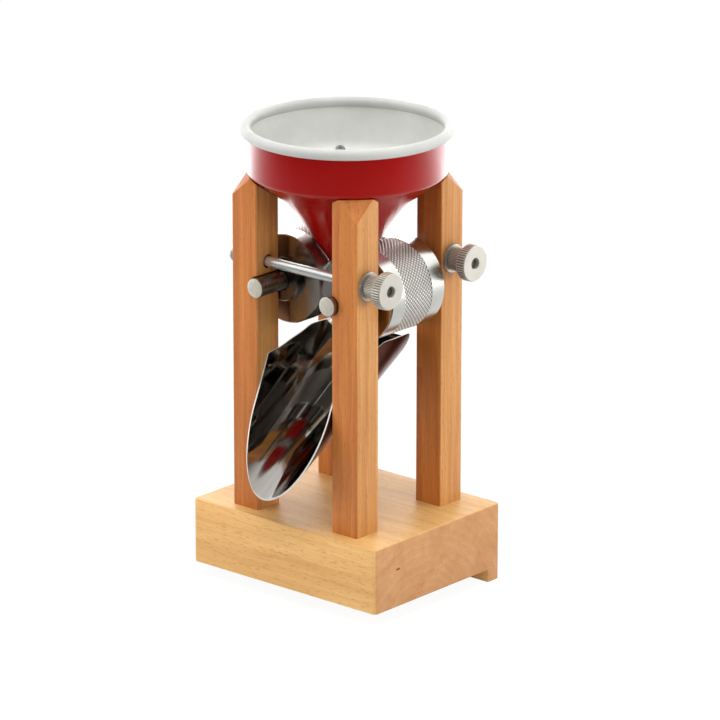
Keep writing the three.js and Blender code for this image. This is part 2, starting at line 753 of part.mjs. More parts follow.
// Tie rods across the posts, which set the gap between the rollers
for (const [name, side] of [['front', -1], ['rear', 1]]) {
  const group = new THREE.Group();
  group.position.set(0, side * postCentreY, rodHeight);
  group.add(piece(`tie_rod_${name}`, 'polished', tieRod()));
  group.add(piece(`cap_nut_${name}`, 'nickel', capNut()));
  group.add(piece(`nut_washer_${name}`, 'nickel', washer()));
  group.add(piece(`knurled_nut_${name}`, 'nickel', knurledNut()));
  flaker.add(group);
}

flaker.add(piece('crank_arm', 'steel', crankPlaced(crankArm())));
flaker.add(piece('crank_screw', 'zinc', crankPlaced(crankScrew())));
flaker.add(piece('grip_axle', 'zinc', crankPlaced(gripAxle())));
flaker.add(piece('crank_grip', 'post', crankPlaced(crankGrip())));

export default flaker;
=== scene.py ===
import math

import bpy
from mathutils import Matrix, Vector


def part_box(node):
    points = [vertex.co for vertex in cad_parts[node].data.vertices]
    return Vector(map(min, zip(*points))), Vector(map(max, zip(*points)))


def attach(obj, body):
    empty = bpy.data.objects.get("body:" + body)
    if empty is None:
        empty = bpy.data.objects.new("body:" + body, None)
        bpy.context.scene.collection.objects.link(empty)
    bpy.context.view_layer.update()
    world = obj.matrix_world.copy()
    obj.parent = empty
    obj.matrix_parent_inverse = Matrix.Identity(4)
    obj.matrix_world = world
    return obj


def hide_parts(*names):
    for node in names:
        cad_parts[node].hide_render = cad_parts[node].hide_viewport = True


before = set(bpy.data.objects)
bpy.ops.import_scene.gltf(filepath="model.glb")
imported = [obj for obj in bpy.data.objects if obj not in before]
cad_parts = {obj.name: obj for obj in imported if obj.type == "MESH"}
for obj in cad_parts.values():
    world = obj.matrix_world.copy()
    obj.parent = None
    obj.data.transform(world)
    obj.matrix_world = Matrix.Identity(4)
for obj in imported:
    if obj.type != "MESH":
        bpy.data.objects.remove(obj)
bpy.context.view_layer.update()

# Base block: one piece of pale, oiled beech with its grain along the long side.
# Its underside is cut away so that a lip is left along the back, which hooks over the table's edge,
# and four counterbored holes take the screws that hold the posts from below.
mm = 0.001
block_low, block_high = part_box("base_block")
lip_width = 13.8 * mm
block_corner_radius = 3.6 * mm
block_edge_radius = 1.3 * mm
lip_edge_radius = 0.5 * mm
counterbore_radius = 6.5 * mm
counterbore_depth = 24 * mm
post_centre = Vector((50 * mm, 48.85 * mm, 0))
corners = {"front_left": (-1, -1), "front_right": (1, -1), "rear_left": (-1, 1), "rear_right": (1, 1)}


def begin(name):
    """Takes the new primitive as this piece, with its place in its mesh."""
    piece = bpy.context.active_object
    piece.name = name
    piece.data.name = name
    bpy.ops.object.transform_apply(location=True, rotation=True, scale=True)
    return piece


def deselect():
    if bpy.context.object and bpy.context.object.mode != "OBJECT":
        bpy.ops.object.mode_set(mode="OBJECT")
    bpy.ops.object.select_all(action="DESELECT")


def take(piece):
    """Leaves the piece as the only one selected, and active."""
    deselect()
    bpy.context.view_layer.objects.active = piece
    piece.select_set(True)


def add_box(name, low, high):
    deselect()
    low = Vector(low)
    high = Vector(high)
    bpy.ops.mesh.primitive_cube_add(size=1, location=(low + high) / 2, scale=high - low)
    return begin(name)


def add_rod(name, radius, start, end, sides=64):
    """A cylinder between two points."""
    deselect()
    start = Vector(start)
    end = Vector(end)
    along = end - start
    bpy.ops.mesh.primitive_cylinder_add(vertices=sides, radius=radius, depth=along.length)
    piece = bpy.context.active_object
    turn = along.to_track_quat("Z", "Y").to_matrix().to_4x4()
    piece.matrix_world = Matrix.Translation((start + end) / 2) @ turn
    return begin(name)


def pick(piece, kind, test):
    """Leaves just those faces or edges of the piece selected, in edit mode, that pass the test."""
    take(piece)
    mesh = piece.data
    for part in (mesh.vertices, mesh.edges, mesh.polygons):
        part.foreach_set("select", [False] * len(part))
    bpy.context.tool_settings.mesh_select_mode = (False, kind == "EDGE", kind == "FACE")
    for item in mesh.polygons if kind == "FACE" else mesh.edges:
        item.select = test(mesh, item)
    bpy.ops.object.mode_set(mode="EDIT")


def pick_all(piece):
    pick(piece, "FACE", lambda mesh, face: True)


def edge_ends(mesh, edge):
    return [mesh.vertices[k].co for k in edge.vertices]


def is_upright(mesh, edge):
    one, two = edge_ends(mesh, edge)
    return math.hypot(one.x - two.x, one.y - two.y) < mm


def apply_modifier(piece, kind, **settings):
    take(piece)
    modifier = piece.modifiers.new(kind.title(), kind)
    for key, value in settings.items():
        setattr(modifier, key, value)
    bpy.ops.object.modifier_apply(modifier=modifier.name)


def combine(piece, other, operation):
    apply_modifier(piece, "BOOLEAN", operation=operation, object=other, solver="EXACT")
    bpy.data.objects.remove(other)


def cut_away(piece, cutter):
    combine(piece, cutter, "DIFFERENCE")


def drill(piece, radius, centre, reach, sides):
    """Cuts a round hole that reaches as far to both sides of its centre."""
    cut_away(piece, add_rod("cutter", radius, centre - reach, centre + reach, sides))


def soften(piece, width, segments=3, degrees=40):
    apply_modifier(
        piece, "BEVEL", width=width, segments=segments, limit_method="ANGLE",
        angle_limit=math.radians(degrees), harden_normals=False)


def smooth(piece, degrees=35):
    take(piece)
    bpy.ops.object.shade_smooth_by_angle(angle=math.radians(degrees))


def hand_over(piece, body, nodes, slot, *finishes):
    """Adds the finishes, puts the piece on its body and lets it stand for its solids."""
    for finish in finishes:
        piece.data.materials.append(finish)
    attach(piece, body)
    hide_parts(*nodes)


def new_finish(name):
    """A new material: its node tree and its Principled shader."""
    material = bpy.data.materials.new(name)
    material.use_nodes = True
    return material, material.node_tree, material.node_tree.nodes["Principled BSDF"]


def feed(tree, node, sockets):
    """Sets each named or numbered input of the node to a value, or links it to another's output."""
    for key, value in sockets.items():
        if isinstance(value, bpy.types.NodeSocket):
            tree.links.new(value, node.inputs[key])
        else:
            node.inputs[key].default_value = value


def put(tree, kind, sockets=None, **settings):
    """Adds a node and feeds its inputs."""
    node = tree.nodes.new(kind)
    for key, value in settings.items():
        setattr(node, key, value)
    feed(tree, node, sockets or {})
    return node


def object_place(tree):
    return put(tree, "ShaderNodeTexCoord").outputs["Object"]


def colour(red, green, blue):
    """A colour given as it shows on a screen, 0 to 255."""
    def linear(value):
        share = value / 255
        return share / 12.92 if share <= 0.04045 else ((share + 0.055) / 1.055) ** 2.4
    return (linear(red), linear(green), linear(blue), 1)


def stretched(tree, vector, scale):
    return put(tree, "ShaderNodeMapping", {"Vector": vector, "Scale": scale}).outputs[0]


def noise(tree, vector, detail, roughness=0.5, distortion=0.0):
    return put(tree, "ShaderNodeTexNoise", {
        "Vector": vector, "Scale": 1, "Detail": detail, "Roughness": roughness,
        "Distortion": distortion}).outputs[0]


def ramp(tree, value, low, high, to_low=0.0, to_high=1.0):
    return put(tree, "ShaderNodeMapRange", {
        "Value": value, "From Min": low, "From Max": high,
        "To Min": to_low, "To Max": to_high}).outputs[0]


def blend_colours(tree, factor, first, second, mode="MIX"):
    return put(tree, "ShaderNodeMix", {0: factor, 6: first, 7: second},
               data_type="RGBA", blend_type=mode, clamp_factor=True).outputs[2]


def sum_of(tree, first, second, mode="ADD"):
    return put(tree, "ShaderNodeMath", {0: first, 1: second}, operation=mode).outputs[0]


def product_of(tree, first, second):
    return sum_of(tree, first, second, "MULTIPLY")


def split(tree, vector):
    return put(tree, "ShaderNodeSeparateXYZ", {0: vector}).outputs


def raised(tree, height, distance, strength=1.0):
    """A normal for a surface that looks as uneven as the height."""
    return put(tree, "ShaderNodeBump", {
        "Height": height, "Strength": strength, "Distance": distance}).outputs[0]


def make_wood_group():
    """Wood whose grain runs along X: broad bands, year rings, fibres and short dark flecks."""
    group = bpy.data.node_groups.new("wood_grain", "ShaderNodeTree")
    for side, kind, names in (
            ("INPUT", "Vector", ("Vector",)), ("INPUT", "Color", ("Pale", "Deep", "Fleck")),
            ("INPUT", "Float", ("Ring Amount", "Fleck Amount", "Fibre Amount")),
            ("OUTPUT", "Color", ("Color",)), ("OUTPUT", "Float", ("Roughness", "Height"))):
        for name in names:
            group.interface.new_socket(name=name, in_out=side, socket_type="NodeSocket" + kind)
    given = put(group, "NodeGroupInput").outputs
    vector = given["Vector"]
    band = noise(group, stretched(group, vector, (5, 60, 60)), 3, 0.55, 0.6)
    fibre = noise(group, stretched(group, vector, (18, 900, 900)), 3, 0.6)
    fleck = noise(group, stretched(group, vector, (190, 1700, 1700)), 1, 0.4)
    sway = stretched(group, vector, (0.12, 1, 1))
    ring = put(group, "ShaderNodeTexWave", {
        "Vector": sway, "Scale": 46, "Distortion": 5, "Detail": 2, "Detail Scale": 1.3,
        "Detail Roughness": 0.55}, wave_type="RINGS", rings_direction="X",
        wave_profile="SAW").outputs[1]
    broad = ramp(group, band, 0.3, 0.7)
    tone = sum_of(group, product_of(group, broad, 0.55), product_of(group, ring, given["Ring Amount"]))
    threads = product_of(group, ramp(group, fibre, 0.3, 0.75), given["Fibre Amount"])
    body = blend_colours(group, sum_of(group, tone, threads), given["Pale"], given["Deep"])
    spots = product_of(group, ramp(group, fleck, 0.61, 0.72), given["Fleck Amount"])
    body = blend_colours(group, spots, body, given["Fleck"])
    height = sum_of(group, fibre, product_of(group, spots, -0.5))
    gloss = ramp(group, fibre, 0.2, 0.8, 0.42, 0.56)
    put(group, "NodeGroupOutput", {"Color": body, "Roughness": gloss, "Height": height})
    return group


wood_group = make_wood_group()


def wood_finish(name, grain_axis, pale, deep, fleck, end_tint, rings, flecks, fibres, pith,
                painted_side_light=(1, 1, 1, 1)):
    """Oiled wood; grain_axis is the axis along which its fibres run, pith the middle of its rings,
    and the last tint multiplies the faces square to X: painted light that brightens those sides."""
    material, tree, shader = new_finish(name)
    place = put(tree, "ShaderNodeMapping", {"Vector": object_place(tree), "Location": pith}).outputs[0]
    parts = split(tree, place)
    order = {"X": (0, 1, 2), "Y": (1, 0, 2), "Z": (2, 0, 1)}[grain_axis]
    along = put(tree, "ShaderNodeCombineXYZ", {k: parts[order[k]] for k in range(3)}).outputs[0]
    grain = put(tree, "ShaderNodeGroup", node_tree=wood_group)
    feed(tree, grain, {"Vector": along, "Pale": pale, "Deep": deep, "Fleck": fleck,
                       "Ring Amount": rings, "Fleck Amount": flecks, "Fibre Amount": fibres})
    facing = split(tree, put(tree, "ShaderNodeTexCoord").outputs["Normal"])
    ends = ramp(tree, sum_of(tree, facing[grain_axis], 0, "ABSOLUTE"), 0.6, 0.9)
    sides = ramp(tree, sum_of(tree, facing["X"], 0, "ABSOLUTE"), 0.6, 0.95)
    # Painted light: the faces square to X are multiplied by the side tint, which brightens them.
    side_lit_grain = blend_colours(tree, sides, grain.outputs["Color"], painted_side_light, "MULTIPLY")
    feed(tree, shader, {
        "Base Color": blend_colours(tree, ends, side_lit_grain, end_tint, "MULTIPLY"),
        "Roughness": sum_of(tree, grain.outputs["Roughness"], product_of(tree, ends, 0.25)),
        "Normal": raised(tree, grain.outputs["Height"], 0.15 * mm, 0.25),
        "Specular IOR Level": 0.55})
    return material


block_wood = wood_finish(
    "block_wood", "X", colour(232, 188, 120), colour(202, 149, 84), colour(164, 104, 52),
    end_tint=(0.7, 0.62, 0.75, 1), rings=0.2, flecks=0.55, fibres=0.34, pith=(0.1, 0.02, 0.035))
knot_place = Vector((block_high.x, block_low.y + 26.2 * mm, 30 * mm))
knot_half_size = (4 * mm, 3 * mm, 1 * mm)


def vector_math(tree, operation, *vectors):
    """What the operation makes of the vectors: a vector, or for two operations a plain value."""
    node = put(tree, "ShaderNodeVectorMath", dict(enumerate(vectors)), operation=operation)
    return node.outputs["Value" if operation in ("DOT_PRODUCT", "LENGTH") else "Vector"]


def add_knot(material):
    """A pin knot, a short dark dash on the end that faces +X."""
    tree = material.node_tree
    base_colour = tree.nodes["Principled BSDF"].inputs["Base Color"]
    away = vector_math(tree, "SUBTRACT", object_place(tree), knot_place)
    distance = vector_math(tree, "LENGTH", vector_math(tree, "DIVIDE", away, knot_half_size))
    knot = ramp(tree, distance, 0.6, 1.1, 0.9, 0)
    wood = base_colour.links[0].from_socket
    tree.links.new(blend_colours(tree, knot, wood, colour(92, 50, 30)), base_colour)


add_knot(block_wood)


def make_base_block():
    low = Vector((block_low.x, block_low.y, 0))
    piece = add_box("base", low, block_high)
    lip_start = block_high.y - lip_width
    pick_all(piece)
    bpy.ops.mesh.bisect(plane_co=(0, lip_start, 0), plane_no=(0, 1, 0))
    pick(piece, "FACE", lambda mesh, face: face.normal.z < -0.5 and face.center.y > lip_start)
    bpy.ops.mesh.extrude_region_move(TRANSFORM_OT_translate={"value": (0, 0, block_low.z)})

    def is_corner(mesh, edge):
        return is_upright(mesh, edge) and abs(edge_ends(mesh, edge)[0].y - lip_start) > mm
    pick(piece, "EDGE", is_corner)
    bpy.ops.mesh.bevel(offset=block_corner_radius, segments=6, affect="EDGES")
    pick(piece, "FACE", lambda mesh, face: face.normal.z > 0.9)
    bpy.ops.mesh.bevel(offset=block_edge_radius, segments=4, affect="EDGES")
    deselect()
    soften(piece, lip_edge_radius, 2, 50)
    for side_x, side_y in corners.values():
        place = Vector((side_x * post_centre.x, side_y * post_centre.y, 0))
        cutter = add_rod("cutter", counterbore_radius, place - Vector((0, 0, mm)),
                         place + Vector((0, 0, counterbore_depth)))
        cut_away(piece, cutter)
    smooth(piece)
    hand_over(piece, "frame", ["base_block"], "block_wood", block_wood)


make_base_block()

# Posts: four square bars of a redder, oiled wood with upright grain, screwed on from below.
# The outer corner of each top is sawn to a facet, and its inner part slants to seat the hopper.
# A notch open to the inside carries the rollers' shaft, and a hole above it takes the tie rod.
post_side = 25 * mm
post_top = 316 * mm
post_ridge_reach = 74.3 * mm
post_ridge_height = 313.6 * mm
post_facet_angle = math.radians(50)
post_seat_angle = math.radians(40.5)
roller_axis_x = 36 * mm
roller_height = 230 * mm
notch_radius = 8.2 * mm
notch_shift = 0.3 * mm
rod_height = 247.5 * mm
rod_hole_radius = 5.25 * mm
post_edge_radius = 1.2 * mm
post_top_radius = 0.7 * mm

post_tones = (colour(206, 130, 58), colour(168, 93, 36), colour(112, 58, 22))
post_end_tint = (0.7, 0.62, 0.6, 1)
# The posts' side tint is painted light that makes their faces square to X brighter and paler.
post_wood = wood_finish(
    "post_wood", "Z", *post_tones, post_end_tint, rings=0.34, flecks=0.35, fibres=0.4,
    pith=(0.02, 0.13, 0.0), painted_side_light=(1.09, 1.54, 2.4, 1))


def make_post():
    """The post of the +X +Y corner."""
    half = Vector((post_side / 2, post_side / 2, 0))
    foot = Vector((0, 0, block_high.z))
    piece = add_box("post", post_centre - half + foot, post_centre + half + Vector((0, 0, post_top)))
    diagonal = Vector((1, 1, 0)).normalized()
    ridge = diagonal * post_ridge_reach + Vector((0, 0, post_ridge_height))
    up = Vector((0, 0, 1))
    for angle in (post_facet_angle, -post_seat_angle):
        pick_all(piece)
        bpy.ops.mesh.bisect(
            plane_co=ridge, plane_no=diagonal * math.sin(angle) + up * math.cos(angle),
            use_fill=True, clear_outer=True)
        deselect()

    def is_of_top(mesh, edge):
        highest = max(end.z for end in edge_ends(mesh, edge))
        return highest > block_high.z + mm and not is_upright(mesh, edge)
    pick(piece, "EDGE", is_upright)
    bpy.ops.mesh.bevel(offset=post_edge_radius, segments=5, affect="EDGES")
    pick(piece, "EDGE", is_of_top)
    bpy.ops.mesh.bevel(offset=post_top_radius, segments=3, affect="EDGES")
    centre = Vector((roller_axis_x + notch_shift, 0, roller_height + notch_shift))
    reach = Vector((0, post_centre.y + post_side, 0))
    cut_away(piece, add_rod("cutter", notch_radius, centre, centre + reach, 96))
    cut_away(piece, add_box("cutter", centre - Vector((post_side, 0, notch_radius)),
                            centre + Vector((0, post_centre.y + post_side, notch_radius))))
    hole = Vector((post_centre.x, post_centre.y, rod_height))
    drill(piece, rod_hole_radius, hole, Vector((post_side, 0, 0)), 48)
    return piece


def face_outwards(piece):
    pick_all(piece)
    bpy.ops.mesh.normals_make_consistent(inside=False)
    deselect()


def mirrored(piece, name, side_x, side_y):
    """A copy of a piece of the +X +Y corner at another corner."""
    take(piece)
    bpy.ops.object.duplicate()
    copy = bpy.context.active_object
    copy.scale = (side_x, side_y, 1)
    begin(name)
    face_outwards(copy)
    return copy


first_post = make_post()
for corner, (side_x, side_y) in corners.items():
    post = mirrored(first_post, "upright_" + corner, side_x, side_y)
    smooth(post)
    hand_over(post, "frame", ["post_" + corner], "post_wood", post_wood)
bpy.data.objects.remove(first_post)

# Hopper: one spun aluminium shell, a trumpet that runs into a straight wall with a rolled bead.
# It is sprayed gloss red outside, and bare inside and on the bead; the foot of the trumpet is
# cut out in two saddles that lie just over the rollers.
hopper_radius = 76.4 * mm
hopper_wall = 1.6 * mm
crease_height = 315.5 * mm
crease_round = 1.6 * mm
outlet_radius = 16 * mm
outlet_height = 246 * mm
bead_radius = 4.1 * mm
bead_centre_radius = 76.9 * mm
bead_height = 348.2 * mm
saddle_radius = 36 * mm
hopper_sides = 160
turned_weld = 0.001 * mm
trumpet_radius_shares = (0, 0.066, 0.174, 0.298, 0.48, 0.695, 1)
trumpet_height_shares = (0, 0.115, 0.259, 0.4245, 0.6187, 0.7986, 1)


def smooth_line(points, steps):
    """A smooth curve through the points, straight on at its ends."""
    line = []
    for k in range(len(points) - 1):
        before = points[k - 1] if k else 2 * points[0] - points[1]
        after = points[k + 2] if k + 2 < len(points) else 2 * points[-1] - points[-2]
        here, there = points[k], points[k + 1]
        for step in range(steps):
            t = step / steps
            line.append(0.5 * (2 * here + (there - before) * t
                               + (2 * before - 5 * here + 4 * there - after) * t * t
                               + (3 * here - before - 3 * there + after) * t ** 3))
    return line + [points[-1]]


def moved_square(line, distance):
    """The line moved square to itself, to its left."""
    moved = []
    for k, point in enumerate(line):
        run = (line[min(k + 1, len(line) - 1)] - line[max(k - 1, 0)]).normalized()
        moved.append(point + distance * Vector((-run.y, run.x)))
    return moved


def arc(centre, radius, start, end, steps):
    return [Vector(centre) + radius * Vector((math.cos(a), math.sin(a)))
            for a in (start + (end - start) * k / steps for k in range(steps + 1))]


def turned(name, outline, steps, axis="Z", centre=(0, 0, 0)):
    """Draws half a section, (radius, place along the axis), and spins it. The section is closed
    unless it starts on the axis."""
    if outline[0][0] > 0:
        outline = [*outline, outline[0]]
    deselect()
    bpy.ops.mesh.primitive_plane_add(size=mm)
    bpy.ops.object.mode_set(mode="EDIT")
    bpy.context.tool_settings.mesh_select_mode = (True, False, False)
    bpy.ops.mesh.select_all(action="SELECT")
    bpy.ops.mesh.merge(type="CENTER")
    place = Vector((0, 0, 0))
    for k, (radius, along) in enumerate(outline):
        step = Vector((radius, 0, along)) - place
        if k == 0:
            bpy.ops.transform.translate(value=step)
        else:
            bpy.ops.mesh.extrude_vertices_move(TRANSFORM_OT_translate={"value": step})
        place += step
    bpy.ops.mesh.select_all(action="SELECT")
    bpy.ops.mesh.spin(steps=steps, angle=2 * math.pi, center=(0, 0, 0), axis=(0, 0, 1))
    bpy.ops.mesh.select_all(action="SELECT")
    bpy.ops.mesh.remove_doubles(threshold=turned_weld)
    bpy.ops.mesh.normals_make_consistent(inside=False)
    bpy.ops.object.mode_set(mode="OBJECT")
    turn = {"X": Matrix.Rotation(math.pi / 2, 4, "Y"), "Y": Matrix.Rotation(-math.pi / 2, 4, "X"),
            "Z": Matrix.Identity(4)}[axis]
    bpy.context.active_object.matrix_world = Matrix.Translation(centre) @ turn
    return begin(name)


def red_enamel():
    """Sprayed gloss enamel: a strong red under a clear, slightly rippled surface."""
    material, tree, shader = new_finish("hopper_red")
    place = object_place(tree)
    cloud = noise(tree, stretched(tree, place, (30, 30, 30)), 2)
    ripple = noise(tree, stretched(tree, place, (420, 420, 420)), 1)
    feed(tree, shader, {
        "Base Color": blend_colours(tree, cloud, colour(151, 6, 3), colour(139, 4, 2)),
        "Roughness": ramp(tree, cloud, 0.2, 0.8, 0.17, 0.23),
        "Normal": raised(tree, ripple, 0.05 * mm, 0.12),
        "Coat Weight": 0.3, "Coat Roughness": 0.1})
    return material


def metal_finish(name, tint, low_roughness, high_roughness, cloud_scale, metallic=1.0, ring_axis=None,
                 ring_centre=(0, 0, 0), ring_pitch=0.5 * mm, ring_depth=0.003 * mm, brushed=0.0):
    """Bare metal with a cloudy gloss and, where it is turned or spun, fine rings round an axis."""
    material, tree, shader = new_finish(name)
    place = object_place(tree)
    cloud = noise(tree, stretched(tree, place, (cloud_scale,) * 3), 3, 0.6)
    dull = tuple(0.86 * share for share in tint[:3]) + (1,)
    feed(tree, shader, {
        "Base Color": blend_colours(tree, ramp(tree, cloud, 0.3, 0.7), tint, dull),
        "Roughness": ramp(tree, cloud, 0.3, 0.7, low_roughness, high_roughness),
        "Metallic": metallic})
    if ring_axis:
        centred = put(tree, "ShaderNodeMapping", {
            "Vector": place, "Location": [-value for value in ring_centre]}).outputs[0]
        rings = put(tree, "ShaderNodeTexWave", {
            "Vector": centred, "Scale": 0.314 / ring_pitch, "Distortion": 1.2, "Detail": 2,
            "Detail Scale": 0.7}, wave_type="RINGS", rings_direction=ring_axis).outputs[1]
        axis = [float(letter == ring_axis) for letter in "XYZ"]
        around = vector_math(tree, "CROSS_PRODUCT", centred, axis)
        feed(tree, shader, {
            "Normal": raised(tree, rings, ring_depth), "Anisotropic": brushed,
            "Tangent": vector_math(tree, "CROSS_PRODUCT", axis, around)})
    return material


def dress(piece, finishes, finish_of):
    """Gives the piece its finishes, and each face the one that finish_of picks for it."""
    if not piece.data.materials:
        for finish in finishes:
            piece.data.materials.append(finish)
    for face in piece.data.polygons:
        face.material_index = finishes.index(finish_of(face))


def roller_centre(side):
    return Vector((side * roller_axis_x, 0, roller_height))


hopper_red = red_enamel()
spun = {"cloud_scale": 25, "metallic": 0.12, "ring_axis": "Z", "ring_pitch": 0.7 * mm}
spun_aluminium = metal_finish("spun_aluminium", colour(226, 227, 222), 0.5, 0.6, **spun)
# The bead's copy of the aluminium is darker: painted shade, since the bead is the same bare metal as
# the inside.
bead_shaded_aluminium = metal_finish("bead_shaded_aluminium", colour(192, 193, 189), 0.45, 0.55, **spun)
for satin in (spun_aluminium, bead_shaded_aluminium):
    satin.node_tree.nodes["Principled BSDF"].inputs["Specular IOR Level"].default_value = 0.25


def make_hopper():
    points = [Vector((outlet_radius + (hopper_radius - outlet_radius) * radius_share,
                      outlet_height + (crease_height - outlet_height) * height_share))
              for radius_share, height_share in zip(trumpet_radius_shares, trumpet_height_shares)]
    outer = smooth_line(points, 5)
    inner = list(reversed(moved_square(outer, hopper_wall)))
    inner_radius = hopper_radius - hopper_wall
    start = -math.acos((hopper_radius - bead_centre_radius) / bead_radius)
    end = 2 * math.pi - math.acos((inner_radius - bead_centre_radius) / bead_radius)
    crease = Vector((hopper_radius, crease_height + crease_round))
    outline = outer[:-1] + [
        outer[-1] - Vector((crease_round, crease_round)) * 0.5, crease,
        *arc((bead_centre_radius, bead_height), bead_radius, start, end, 28),
        Vector((inner_radius, crease_height + 2 * crease_round)), *inner[1:]]
    piece = turned("hopper_shell", outline, hopper_sides)
    for side in (-1, 1):
        drill(piece, saddle_radius, roller_centre(side), Vector((0, hopper_radius, 0)), hopper_sides)
    bead_foot = bead_height + bead_radius * math.sin(start)

    def finish_of(face):
        if face.center.z > bead_foot:
            return bead_shaded_aluminium
        outward = face.normal.x * face.center.x + face.normal.y * face.center.y
        return hopper_red if outward > 0 else spun_aluminium
    dress(piece, (hopper_red, spun_aluminium, bead_shaded_aluminium), finish_of)
    smooth(piece, 40)
    hand_over(piece, "frame", ["hopper"], "hopper_red")


make_hopper()

# Screws of the hopper: four zinc plated pan heads inside the trumpet, square to its wall,
# that go through it into the posts' seats.
hopper_screw_reach = 70 * mm
hopper_screw_length = 17 * mm
screw_head_radius = 3.8 * mm
screw_head_height = 2.4 * mm
screw_crown_share = 0.6
screw_radius = 2 * mm
seat_gap = 0.3 * mm
slot_width = 1.0 * mm
slot_depth = 1.1 * mm
recess_radius = 1.9 * mm

zinc = metal_finish("zinc_plate", colour(186, 188, 190), 0.28, 0.42, 300)


def make_pan_screw(name, length):
    """A pan head screw along Z, its head's seat at 0, with a cross recess."""
    crown_radius = screw_head_height * screw_crown_share
    crown = arc((screw_head_radius - crown_radius, screw_head_height - crown_radius),
                crown_radius, 0, math.pi / 2, 6)
    piece = turned(name, [
        (0, -length), (screw_radius, 2 * screw_radius - length), (screw_radius, 0),
        (screw_head_radius, 0), *[tuple(point) for point in crown], (0, screw_head_height)], 32)
    top = Vector((0, 0, screw_head_height))
    for half_x, half_y in ((recess_radius, slot_width / 2), (slot_width / 2, recess_radius)):
        half = Vector((half_x, half_y, slot_depth))
        cut_away(piece, add_box("cutter", top - half, top + half))
    return piece


def make_hopper_screws():
    run, rise = [shares[-1] - shares[-2] for shares in (trumpet_radius_shares, trumpet_height_shares)]
    slope = rise * (crease_height - outlet_height) / (run * (hopper_radius - outlet_radius))
    seat = crease_height + slope * (hopper_screw_reach - hopper_radius)
    for corner, (side_x, side_y) in corners.items():
        piece = make_pan_screw("hopper_head_" + corner, hopper_screw_length)
        azimuth = math.atan2(side_y * post_centre.y, side_x * post_centre.x)
        lift = Matrix.Translation((0, 0, hopper_wall + seat_gap))
        piece.matrix_world = (
            Matrix.Rotation(azimuth, 4, "Z") @ Matrix.Translation((hopper_screw_reach, 0, seat))
            @ Matrix.Rotation(-math.atan(slope), 4, "Y") @ lift)
        begin(piece.name)
        smooth(piece)
        hand_over(piece, "frame", ["hopper_screw_" + corner], "zinc_steel", zinc)


make_hopper_screws()

# Chute: one steel sheet bent to a round bottom between the front posts, with a flat back wall. It is
# polished inside and left duller outside, where its dark brown tint is a painted reflection of the
# posts in shade; its sheared edges are bright. It slopes down to the front, where one long slanting
# cut leaves an oval mouth.
chute_radius = 37.2 * mm
chute_wall = 1.2 * mm
chute_slope = math.radians(31.6)
chute_tip = Vector((-96.7 * mm, 77.5 * mm))
chute_corner = Vector((-50 * mm, 175.1 * mm))
chute_front_bow = 2.1 * mm
chute_top = 187 * mm
chute_level_y = 0.0
chute_back_y = 33 * mm
chute_back_radius = 5 * mm
chute_run_shares = (0.27, 0.52, 0.78)
chute_rise_shares = (0.16, 0.44, 0.69)
chute_rim_radius = 0.3 * mm
chute_grid = (160, 90)
chute_weld = 0.01 * mm
chute_swell = 0.25 * mm
chute_bend_share = 0.08

# The outer side's dark brown is a painted reflection of the posts in shade.
painted_reflection_sheet = metal_finish("painted_reflection_sheet", colour(104, 64, 54), 0.24, 0.34, 30)
sheared_edge = metal_finish("sheared_edge", colour(236, 234, 228), 0.35, 0.45, 200, 0.3)
polished_sheet = metal_finish("polished_sheet", colour(170, 166, 160), 0.05, 0.09, 20)


def bend_mirror(material):
    """Lets the sheet mirror as one bent by hand does: a little swollen, and tilted along its run."""
    tree = material.node_tree
    position = object_place(tree)
    swell = noise(tree, stretched(tree, position, (26, 12, 12)), 1)
    height = sum_of(tree, product_of(tree, swell, chute_swell),
                    product_of(tree, split(tree, position)["Y"], -chute_bend_share))
    feed(tree, tree.nodes["Principled BSDF"], {"Normal": raised(tree, height, 1)})


bend_mirror(polished_sheet)


def chute_side_top(y):
    """Height of the side walls' top edge."""
    stops = [chute_corner] + [
        Vector((chute_corner.x + (chute_level_y - chute_corner.x) * run_share,
                chute_corner.y + (chute_top - chute_corner.y) * rise_share))
        for run_share, rise_share in zip(chute_run_shares, chute_rise_shares)]
    stops.append(Vector((chute_level_y, chute_top)))
    for near, far in zip(stops, stops[1:]):
        if y <= far.x:
            return near.y + (far.y - near.y) * (y - near.x) / (far.x - near.x)
    into_round = max(0.0, y - chute_back_y + chute_back_radius)
    drop = chute_back_radius - math.sqrt(max(0.0, chute_back_radius ** 2 - into_round ** 2))
    return chute_top - drop


def chute_middle(y):
    """Height of the axis of the chute's round bottom."""
    bottom = chute_tip.y + (y - chute_tip.x) * math.tan(chute_slope)
    return bottom + chute_radius / math.cos(chute_slope)


def halved(low, high, is_before):
    """Where a test changes from true to false between two values."""
    for _ in range(40):
        middle = (low + high) / 2
        if is_before(middle):
            low = middle
        else:
            high = middle
    return (low + high) / 2


